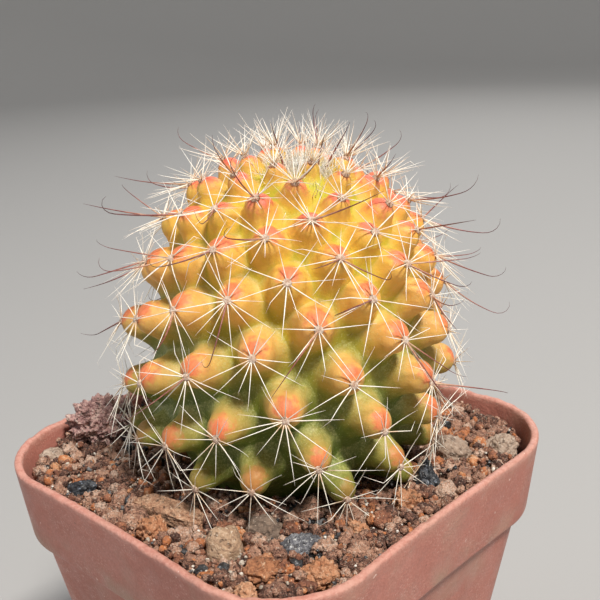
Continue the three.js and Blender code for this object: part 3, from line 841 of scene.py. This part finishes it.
def finger_distance(t, points):
    """Distance from the skin of one tubercle, and the depth and rise of each point on it."""
    offset = points - t["tip"]
    depth = -offset @ t["out"]
    radius, hump = girth(t, depth)
    nose = NOSE_SHARE * t["fat"]
    rise = offset @ t["up"] - hump
    beside = offset @ t["side"]
    away = np.hypot(rise, beside)
    ahead = np.maximum(nose - depth, 0)
    behind = np.maximum(depth - t["length"], 0)
    return np.hypot(away, ahead) - radius + 0.8 * behind, depth, rise


def core_distance(points):
    """Distance from the skin of the core, from its outline."""
    local = (points - plant_shift) @ plant_turn
    flat = np.stack([np.hypot(local[:, 0], local[:, 1]), local[:, 2]], axis=1)
    nearest = np.full(len(points), 1e9)
    for a, b in zip(CORE_OUTLINE, CORE_OUTLINE[1:]):
        share = np.clip((flat - a) @ (b - a) / ((b - a) @ (b - a)), 0, 1)
        nearest = np.minimum(nearest, np.linalg.norm(flat - a - share[:, None] * (b - a), axis=1))
    width = np.interp(flat[:, 1], CORE_OUTLINE[:, 1], CORE_OUTLINE[:, 0], left=-1, right=-1)
    return np.where(flat[:, 0] < width, -nearest, nearest)


tubercles = [tubercle(count) for count in range(FIRST_TUBERCLE, LAST_TUBERCLE + 1)]


def skin_distance(points):
    """Distance from the skin of the whole stem, with its pieces grown smoothly into one another."""
    total = np.exp(-core_distance(points) / BLEND)
    for t in tubercles:
        middle = t["tip"] - t["out"] * t["length"] / 2
        near = np.linalg.norm(points - middle, axis=1) < t["length"] / 2 + t["fat"] + 4
        distance, _, _ = finger_distance(t, points[near])
        total[near] += np.exp(-distance / BLEND)
    return -BLEND * np.log(total)


body_points, body_faces = [], []
core = []
for (r0, z0), (r1, z1) in zip(CORE_OUTLINE, CORE_OUTLINE[1:]):
    core += [(r0 + (r1 - r0) * k / 3, z0 + (z1 - z0) * k / 3) for k in range(3)]
core_rings = [[tuple(plant_turn @ (max(r, 0.05) * math.cos(a), max(r, 0.05) * math.sin(a), z) + plant_shift)
               for a in np.arange(48) * math.pi / 24] for r, z in core]
for more_points, more_faces in [loft(core_rings)] + [tubercle_mesh(t) for t in tubercles]:
    body_faces += [tuple(len(body_points) + i for i in f) for f in more_faces]
    body_points += more_points

stem_finish, tree, shader = new_material("waxy_skin", Specular_IOR_Level=0.34, Subsurface_Weight=0.16,
                                         Subsurface_Scale=0.0014)
shader.inputs["Subsurface Radius"].default_value = (1.0, 0.7, 0.25)
stem = mesh_piece("cactus_stem", body_points, body_faces, [stem_finish])
grow = stem.modifiers.new("grown_together", "REMESH")
grow.mode = "VOXEL"
grow.voxel_size = STEM_VOXEL * MM
bpy.context.view_layer.objects.active = stem
bpy.ops.object.modifier_apply(modifier=grow.name)
stem.data.shade_smooth()
skin_points = np.empty(len(stem.data.vertices) * 3, np.float32)
stem.data.vertices.foreach_get("co", skin_points)
skin_points = skin_points.reshape(-1, 3).astype(float) / MM
ends = np.empty(len(stem.data.edges) * 2, np.int32)
stem.data.edges.foreach_get("vertices", ends)
ends = ends.reshape(-1, 2)
both = np.concatenate([ends, ends[:, ::-1]])
neighbours = np.bincount(both[:, 0], minlength=len(skin_points))[:, None]
for fit_round in range(FIT_ROUNDS):
    # Each round evens out the net of points, then moves every point onto the smooth skin.
    for _ in range(3 if fit_round < FIT_ROUNDS - 1 else 1):
        around = [np.bincount(both[:, 0], column[both[:, 1]], len(column)) for column in skin_points.T]
        skin_points = 0.4 * skin_points + 0.6 * np.stack(around, 1) / neighbours
    here = skin_distance(skin_points)
    slope = np.stack([skin_distance(skin_points + NUDGE * step) - here for step in np.eye(3)], 1) / NUDGE
    steep = np.maximum((slope ** 2).sum(1), 0.3)
    skin_points -= slope * (np.clip(here, -1.5, 1.5) / steep)[:, None]
stem.data.vertices.foreach_set("co", (skin_points * MM).astype(np.float32).ravel())
stem.data.update()

# Each point of the skin knows how deep it is behind its tubercle's tip, how old the tubercle is, how near
# it is to the blush above the tip, how high it is on the plant, and how far it lies in a crease. The blush
# caps the whole tip of a tubercle counted below CAPPED_BELOW, and it is smaller on the very newest.
blush_rng = np.random.default_rng(23)
closest = np.full(len(skin_points), 1e9)
along, upper, age, blush, beside = np.zeros((5, len(skin_points)))
for t in tubercles:
    fresh = max(0.0, 1 - t["count"] / CAPPED_BELOW)
    distance, depth, rise = finger_distance(t, skin_points)
    heart = t["tip"] + t["up"] * (1.35 - 1.1 * fresh) - t["out"] * (0.95 - 0.2 * fresh)
    newest = max(0.0, 1 - t["count"] / NEWEST_BELOW)
    reach = (1.5 + 0.65 * fresh - 0.9 * newest) * blush_rng.uniform(0.85, 1.2) * min(1.0, t["fat"] / 3)
    to_heart = skin_points - heart
    sideways = to_heart @ t["side"]
    spread_out = np.sqrt(sideways ** 2 + (to_heart @ t["up"]) ** 2 + (0.68 * to_heart @ t["out"]) ** 2)
    mine = distance < closest
    closest[mine] = distance[mine]
    along[mine] = depth[mine]
    upper[mine] = (rise / (NOSE_SHARE * t["fat"]))[mine]
    age[mine] = t["count"] / LAST_TUBERCLE
    blush[mine] = (spread_out / reach)[mine]
    beside[mine] = sideways[mine]
heights = (skin_points - plant_shift) @ stem_axis / 49
for label, values in {"along": along, "upper": upper, "age": age, "blush": blush, "height": heights,
                      "crease": closest, "beside": beside}.items():
    store(stem, label, values)

height_in, along_in, upper_in = (attribute(tree, name) for name in ("height", "along", "upper"))
age_in, blush_in, crease_in = (attribute(tree, name) for name in ("age", "blush", "crease"))
level_in = maths(tree, "ADD", height_in, centred(tree, masked(tree, 6, 0.3, 0.7), 0.10))
flesh = ramp(tree, level_in, [
    (0.0, (0.050, 0.105, 0.014)), (0.25, (0.078, 0.138, 0.015)), (0.42, (0.21, 0.235, 0.024)),
    (0.60, (0.52, 0.39, 0.025)), (0.85, (0.66, 0.49, 0.030)), (1.0, (0.44, 0.48, 0.05)),
])
finger = ramp(tree, level_in, [
    (0.0, (0.13, 0.19, 0.030)), (0.22, (0.23, 0.26, 0.04)), (0.40, (0.62, 0.40, 0.10)),
    (0.6, (0.80, 0.44, 0.11)), (0.82, (0.72, 0.47, 0.04)), (1.0, (0.58, 0.50, 0.06)),
])
uneven_depth = maths(tree, "ADD", along_in, centred(tree, masked(tree, 2.5, 0.3, 0.7), 2.0))
near_tip = one_minus(tree, spread(tree, uneven_depth, 1.8, 7.2))
colour = mix(tree, near_tip, flesh, finger)
shade, grain_height = gritted(tree, 0.22)
# The flanks and undersides stay green low on the plant, and every crease is darkened with painted shade.
below = spread(tree, times(tree, upper_in, -1.0), -0.2, 0.9)
low_down = one_minus(tree, spread(tree, height_in, 0.12, 0.6))
colour = mix(tree, times(tree, below, low_down, 0.75), colour, (0.16, 0.21, 0.028))
# Painted shade in the creases between the tubercles.
deep = spread(tree, crease_in, 0.25, 1.1)
crease_shade_tone = ramp(tree, level_in, [
    (0.0, (0.055, 0.095, 0.016)), (0.35, (0.11, 0.15, 0.020)),
    (0.6, (0.40, 0.32, 0.018)), (1.0, (0.42, 0.42, 0.03)),
])
colour = mix(tree, times(tree, deep, 0.7), colour, crease_shade_tone)
# Pale bloom: a fine cream speckle on the shoulders behind the tips.
shoulder = times(tree, spread(tree, along_in, 1.5, 3.8), one_minus(tree, spread(tree, along_in, 4.5, 8.5)),
                 spread(tree, upper_in, -0.5, 0.8), one_minus(tree, spread(tree, height_in, 0.6, 0.95)))
speckle = maths(tree, "ADD", 0.14, times(tree, spread(tree, shade, 0.3, 1.0), 0.36))
colour = mix(tree, times(tree, shoulder, speckle), colour, (0.58, 0.58, 0.23))
not_high = one_minus(tree, spread(tree, height_in, 0.55, 0.9))
dots = times(tree, masked(tree, 0.30, 0.60, 0.68, 2.0, 0.6), not_high, 0.30)
colour = mix(tree, dots, colour, (0.60, 0.60, 0.30))
# Coral blush above each spine cluster, round the whole tip of the youngest, and faint on the oldest.
rim = maths(tree, "ADD", blush_in, centred(tree, masked(tree, 1.0, 0.3, 0.7, 4.0), 0.5))
faint = one_minus(tree, times(tree, spread(tree, age_in, 0.80, 0.98), 0.80))
youth = one_minus(tree, spread(tree, age_in, 0.1, 0.55))
halo_strength = maths(tree, "ADD", 0.30, times(tree, youth, 0.30))
halo = times(tree, one_minus(tree, spread(tree, rim, 0.9, 2.9)), faint, halo_strength)
colour = mix(tree, halo, colour, (0.84, 0.40, 0.13))
coral = mix(tree, youth, (0.76, 0.215, 0.095), (0.78, 0.150, 0.115))
# The blush is finely streaked along the tubercle.
lengthwise = node(tree, "CombineXYZ", {0: times(tree, attribute(tree, "beside"), 4.0),
                                       1: times(tree, along_in, 0.7), 2: times(tree, age_in, 900.0)})
streak = node(tree, "TexNoise", {"Vector": lengthwise.outputs[0], "Scale": 1.0, "Detail": 3.0})
streaks = times(tree, spread(tree, streak.outputs[0], 0.42, 0.62), 0.38)
coral = mix(tree, streaks, coral, (0.58, 0.105, 0.045))
blushing = times(tree, one_minus(tree, spread(tree, rim, 0.55, 1.35)), faint, 0.92)
colour = mix(tree, blushing, colour, coral)
# A few tiny dark specks.
spot = times(tree, masked(tree, 0.9, 0.755, 0.775, 3.0, 0.2), 0.8)
colour = mix(tree, spot, colour, (0.06, 0.035, 0.015))
tree.links.new(colour, shader.inputs["Base Color"])
rough = node(tree, "MapRange", {0: shade, 3: 0.38, 4: 0.56}).outputs[0]
tree.links.new(rough, shader.inputs["Roughness"])
relief = maths(tree, "ADD", times(tree, grain_height, 0.3), masked(tree, 1.6, 0.2, 0.8))
bump(tree, shader, relief, 0.08)
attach(stem, "root")
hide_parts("stem")
skin_faces = [tuple(face.vertices) for face in stem.data.polygons]
skin = BVHTree.FromPolygons([tuple(p) for p in skin_points], skin_faces)


# ---------- spine clusters ----------
# Every tubercle ends in a small felted cushion. A dozen fine cream spines spread from it in a shallow star,
# and up to two stout central spines, dark red-brown and mostly hooked, stand out of its middle.
spine_rng = np.random.default_rng(5)
SPINE_SIDES = 5
SPINE_STEPS = 9
HOOK_STEPS = 18
CUSHION_RADIUS = 0.62
# Clusters are counted from the crown, so these counts are ages.
SHORT_BELOW = 36
CROWDED_BELOW = 16
CENTRALS_FROM = 22
CENTRALS_TO = 66
BARE_ABOVE = 86


def spine_faces(count, steps):
    """Faces of count spines with their ends closed."""
    one = []
    for s in range(steps - 1):
        for i in range(SPINE_SIDES):
            j = (i + 1) % SPINE_SIDES
            this, beyond = s * SPINE_SIDES, (s + 1) * SPINE_SIDES
            one.append((this + i, this + j, beyond + j, beyond + i))
    one.append(tuple(range(SPINE_SIDES))[::-1])
    one.append(tuple((steps - 1) * SPINE_SIDES + i for i in range(SPINE_SIDES)))
    size = steps * SPINE_SIDES
    return [tuple(k * size + i for i in f) for k in range(count) for f in one]


def bent_spines(starts, ways, bends, lengths, angles, thick):
    """Points, faces and places along them of tapered spines, each bending in one plane.

    angles is how far each step of each spine has turned from its start.
    """
    steps = angles.shape[1]
    stride = (lengths / (steps - 1))[:, None, None]
    heading = np.cos(angles)[:, :, None] * ways[:, None] + np.sin(angles)[:, :, None] * bends[:, None]
    travel = np.cumsum(heading[:, :-1] * stride, axis=1)
    line = starts[:, None] + np.concatenate([np.zeros_like(heading[:, :1]), travel], axis=1)
    flat = np.cross(ways, bends)[:, None]
    normal = np.cross(flat, heading)
    share = np.linspace(0, 1, steps)
    taper = thick[:, None] * (1 - share ** 1.6 * 0.88)[None]
    turn = np.arange(SPINE_SIDES) * 2 * math.pi / SPINE_SIDES
    ring = np.cos(turn)[:, None, None, None] * normal + np.sin(turn)[:, None, None, None] * flat
    points = (line + ring * taper[:, :, None]).transpose(1, 2, 0, 3)
    along_values = np.tile(np.repeat(share, SPINE_SIDES), len(starts))
    return points.reshape(-1, 3), spine_faces(len(starts), steps), along_values


def spine_finish(name, stops, rough):
    """A horny material that changes colour from the spine's base to its tip."""
    made, tree, shader = new_material(name, Roughness=rough, Specular_IOR_Level=0.5)
    ripple = centred(tree, masked(tree, 0.8, 0.3, 0.7), 0.2)
    own_shift = centred(tree, attribute(tree, "tint"), 0.5)
    where = maths(tree, "ADD", maths(tree, "ADD", attribute(tree, "along"), ripple), own_shift, True)
    tree.links.new(ramp(tree, where, stops), shader.inputs["Base Color"])
    bump(tree, shader, masked(tree, 0.25, 0.3, 0.7), 0.02)
    return made


cream_colours = [(0.0, (0.80, 0.60, 0.42)), (0.12, (0.92, 0.84, 0.70)), (0.6, (0.97, 0.95, 0.88)),
                 (1.0, (0.93, 0.84, 0.74))]
cream_finish = spine_finish("cream_spine", cream_colours, 0.42)
dark_colours = [(0.0, (0.62, 0.40, 0.26)), (0.22, (0.42, 0.18, 0.13)), (0.55, (0.20, 0.055, 0.05)),
                (1.0, (0.07, 0.022, 0.022))]
dark_finish = spine_finish("dark_spine", dark_colours, 0.35)
felt_finish, tree, shader = new_material("areole_felt", Roughness=0.9, Sheen_Weight=0.4)
felt_tone = mix(tree, masked(tree, 0.4, 0.35, 0.65), (0.50, 0.30, 0.20), (0.78, 0.62, 0.50))
tree.links.new(felt_tone, shader.inputs["Base Color"])
bump(tree, shader, masked(tree, 0.15, 0.3, 0.7), 0.08)


def star(t, count, lifts, lengths, droop=0.0, low_side=False):
    """Ways, bends and lengths of a cluster's spreading spines. lifts and lengths are low and high limits.

    droop thins and shortens the spines that point up, and low_side keeps them all below the cushion.
    """
    shaken = np.arange(count) + spine_rng.uniform(-0.42, 0.42, count)
    angles = shaken * 2 * math.pi / count + spine_rng.uniform(0, 7)
    if low_side:
        angles = np.radians(spine_rng.uniform(-175, -5, count))
    angles = angles - droop * 0.16 * np.cos(angles)
    lifts = np.radians(spine_rng.uniform(*lifts, count))
    flat = np.cos(angles)[:, None] * t["side"] + np.sin(angles)[:, None] * t["up"]
    ways = np.cos(lifts)[:, None] * flat + np.sin(lifts)[:, None] * t["out"]
    bends = np.cos(lifts)[:, None] * t["out"] - np.sin(lifts)[:, None] * flat
    upward = np.maximum(np.sin(angles), 0)
    return ways, bends, spine_rng.uniform(*lengths, count) * (1 - 0.28 * droop * upward)


def kinked(count, steps, share):
    """How far each step of each spine has turned: a slight bow, and in a few a sharp kink."""
    along_spine = np.linspace(0, 1, steps)
    bow = spine_rng.normal(0, 0.16, count)[:, None] * along_spine
    at = spine_rng.uniform(0.45, 0.85, count)[:, None]
    sharp = np.where(spine_rng.random(count) < share, spine_rng.uniform(-1.6, -0.5, count), 0)[:, None]
    return bow + sharp * (along_spine > at)


def hooked(count, steps, share):
    """The same for central spines: nearly straight, then in most a tight hook at the end."""
    along_spine = np.linspace(0, 1, steps)
    bow = spine_rng.uniform(0.0, 0.6, count)[:, None] * along_spine
    hook = np.where(spine_rng.random(count) < share, spine_rng.uniform(1.3, 2.8, count), 0)[:, None]
    return bow + hook * np.clip((along_spine - 0.66) / 0.34, 0, 1) ** 1.5


def bundle(name, parts, materials):
    """One piece made of parts, each (points, faces, which material, places along the spine, tints)."""
    points, faces, which, along_values, tints = zip(*parts)
    firsts = np.cumsum([0] + [len(some) for some in points]).tolist()
    all_faces = [tuple(first + i for i in f) for first, some in zip(firsts, faces) for f in some]
    made = mesh_piece(name, np.concatenate(points), all_faces, materials)
    stuff = np.repeat(which, [len(some) for some in faces]).astype(np.int32)
    made.data.polygons.foreach_set("material_index", stuff)
    store(made, "along", np.concatenate(along_values))
    store(made, "tint", np.concatenate(tints))
    return made


def cushion(centre, t):
    """A bumpy felt dome."""
    shape, shape_faces = felt_shape
    local = shape * (CUSHION_RADIUS, CUSHION_RADIUS, 0.62 * CUSHION_RADIUS)
    basis = np.array([t["side"], t["up"], t["out"]])
    return local @ basis + centre, shape_faces


felt_shape = lump_shape(2, 77, 0.25, 0.0)
for row in range(ROWS):
    parts = []
    for t in [t for t in tubercles if t["count"] % ROWS == row]:
        count = t["count"]
        fresh = max(0.0, 1 - count / SHORT_BELOW)
        hit, _, _, _ = skin.ray_cast(Vector(t["tip"] + 4 * t["out"]), Vector(-t["out"]))
        seat = np.array(hit) if hit else t["tip"]
        seat = seat - 0.1 * t["out"]
        n = int(spine_rng.integers(9, 14)) + int(6 * max(0.0, 1 - count / CROWDED_BELOW))
        lifts = (4 + 42 * fresh, 24 + 50 * fresh)
        ways, bends, lengths = star(t, n, lifts, (5.2 - 1.4 * fresh, 9.0 - 3.0 * fresh), 1 - fresh)
        starts = np.tile(seat + 0.15 * t["out"], (n, 1)) + 0.25 * ways
        angles = kinked(n, SPINE_STEPS, 0.03 + 0.20 * count / LAST_TUBERCLE)
        spreading = (starts, ways, bends, lengths, angles, spine_rng.uniform(0.066, 0.100, n))
        grown = [(0, spreading)]
        # The middle of the plant carries most of the dark centrals. The oldest clusters have nearly none.
        odds = [0.25, 0.55, 0.2] if CENTRALS_FROM < count < CENTRALS_TO else [0.65, 0.32, 0.03]
        if count > BARE_ABOVE:
            odds = [0.9, 0.1, 0]
        n = int(spine_rng.choice([0, 1, 2], p=odds))
        if n:
            lifts = (15 + 30 * fresh, 50 + 25 * fresh)
            ways, bends, lengths = star(t, n, lifts, (9.5 - 3 * fresh, 14.5 - 5 * fresh), low_side=True)
            starts = np.tile(seat + 0.2 * t["out"], (n, 1)) + 0.12 * ways
            angles = hooked(n, HOOK_STEPS, 0.8)
            grown.append((1, (starts, ways, bends, lengths, angles, spine_rng.uniform(0.11, 0.16, n))))
        for which, spines in grown:
            points, faces, along_values = bent_spines(*spines)
            shades = spine_rng.random(len(spines[0]))
            tints = np.repeat(shades, len(points) // len(shades))
            parts.append((points, faces, which, along_values, tints))
        points, faces = cushion(seat + 0.12 * t["out"], t)
        parts.append((points, faces, 2, np.zeros(len(points)), np.zeros(len(points))))
    piece = bundle(f"spine_clusters_{row + 1:02d}", parts, [cream_finish, dark_finish, felt_finish])
    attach(piece, "root")
    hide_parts(f"spine_row_{row + 1:02d}")


# ---------- crown wool ----------
# White wool grows in the growing point, between the newest tubercles. A thicket of young white spines and
# a few stout dark ones stand up through it.
wool_finish, tree, shader = new_material("crown_wool_hair", Roughness=0.85, Sheen_Weight=0.3)
wool_tone = mix(tree, masked(tree, 0.6, 0.35, 0.65), (0.82, 0.78, 0.68), (0.95, 0.93, 0.88))
tree.links.new(wool_tone, shader.inputs["Base Color"])
bump(tree, shader, masked(tree, 0.2, 0.3, 0.7), 0.1)
WOOL_HAIRS = 2200
CROWN_SPINES = 260
CROWN_DARK = 3
CROWN_TINT = 0.6
wool_middle = np.array(sum(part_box("crown_wool"), Vector()) / 2) / MM
up = stem_axis
side = np.cross(up, (0, 1, 0))
side /= np.linalg.norm(side)
fore = np.cross(up, side)


def tuft(count, reach_out, lean_most, lengths, thick, steps, curl):
    """Hairs or spines that stand up from a round patch and lean outwards."""
    turn = spine_rng.uniform(0, 2 * math.pi, count)
    away = reach_out * np.sqrt(spine_rng.random(count))
    out = np.cos(turn)[:, None] * side + np.sin(turn)[:, None] * fore
    starts = wool_middle + away[:, None] * out - up * (1.2 + 0.09 * away[:, None] ** 2)
    lean = np.radians(lean_most) * (0.25 + 0.75 * away / reach_out) * spine_rng.uniform(-0.3, 1.2, count)
    ways = np.cos(lean)[:, None] * up + np.sin(lean)[:, None] * out
    bends = np.cos(lean)[:, None] * out - np.sin(lean)[:, None] * up
    along_spine = np.linspace(0, 1, steps)
    angles = spine_rng.normal(0, curl, count)[:, None] * along_spine
    angles += 0.4 * curl * np.sin(along_spine * 9 + spine_rng.uniform(0, 6, count)[:, None])
    lengths = spine_rng.uniform(*lengths, count)
    return bent_spines(starts, ways, bends, lengths, angles, np.full(count, thick))


dome, dome_faces = lump_shape(4, 91, 0.2, 0.0)
basis = np.array([side, fore, up])
dome = (dome * (2.6, 2.6, 1.5)) @ basis + wool_middle - 1.1 * up
parts = [(dome, dome_faces, 0, np.full(len(dome), 0.5), np.full(len(dome), CROWN_TINT))]
for which, (points, faces, along_values) in enumerate([
    tuft(WOOL_HAIRS, 5.4, 80, (1.8, 4.2), 0.034, 7, 1.3),
    tuft(CROWN_SPINES, 6.4, 85, (3.0, 7.4), 0.092, 8, 0.35),
    tuft(CROWN_DARK, 3.4, 30, (7.5, 9.5), 0.19, 8, 0.15),
]):
    parts.append((points, faces, which, along_values, np.full(len(points), CROWN_TINT)))
wool = bundle("crown_tuft", parts, [wool_finish, cream_finish, dark_finish])
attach(wool, "root")
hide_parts("crown_wool")
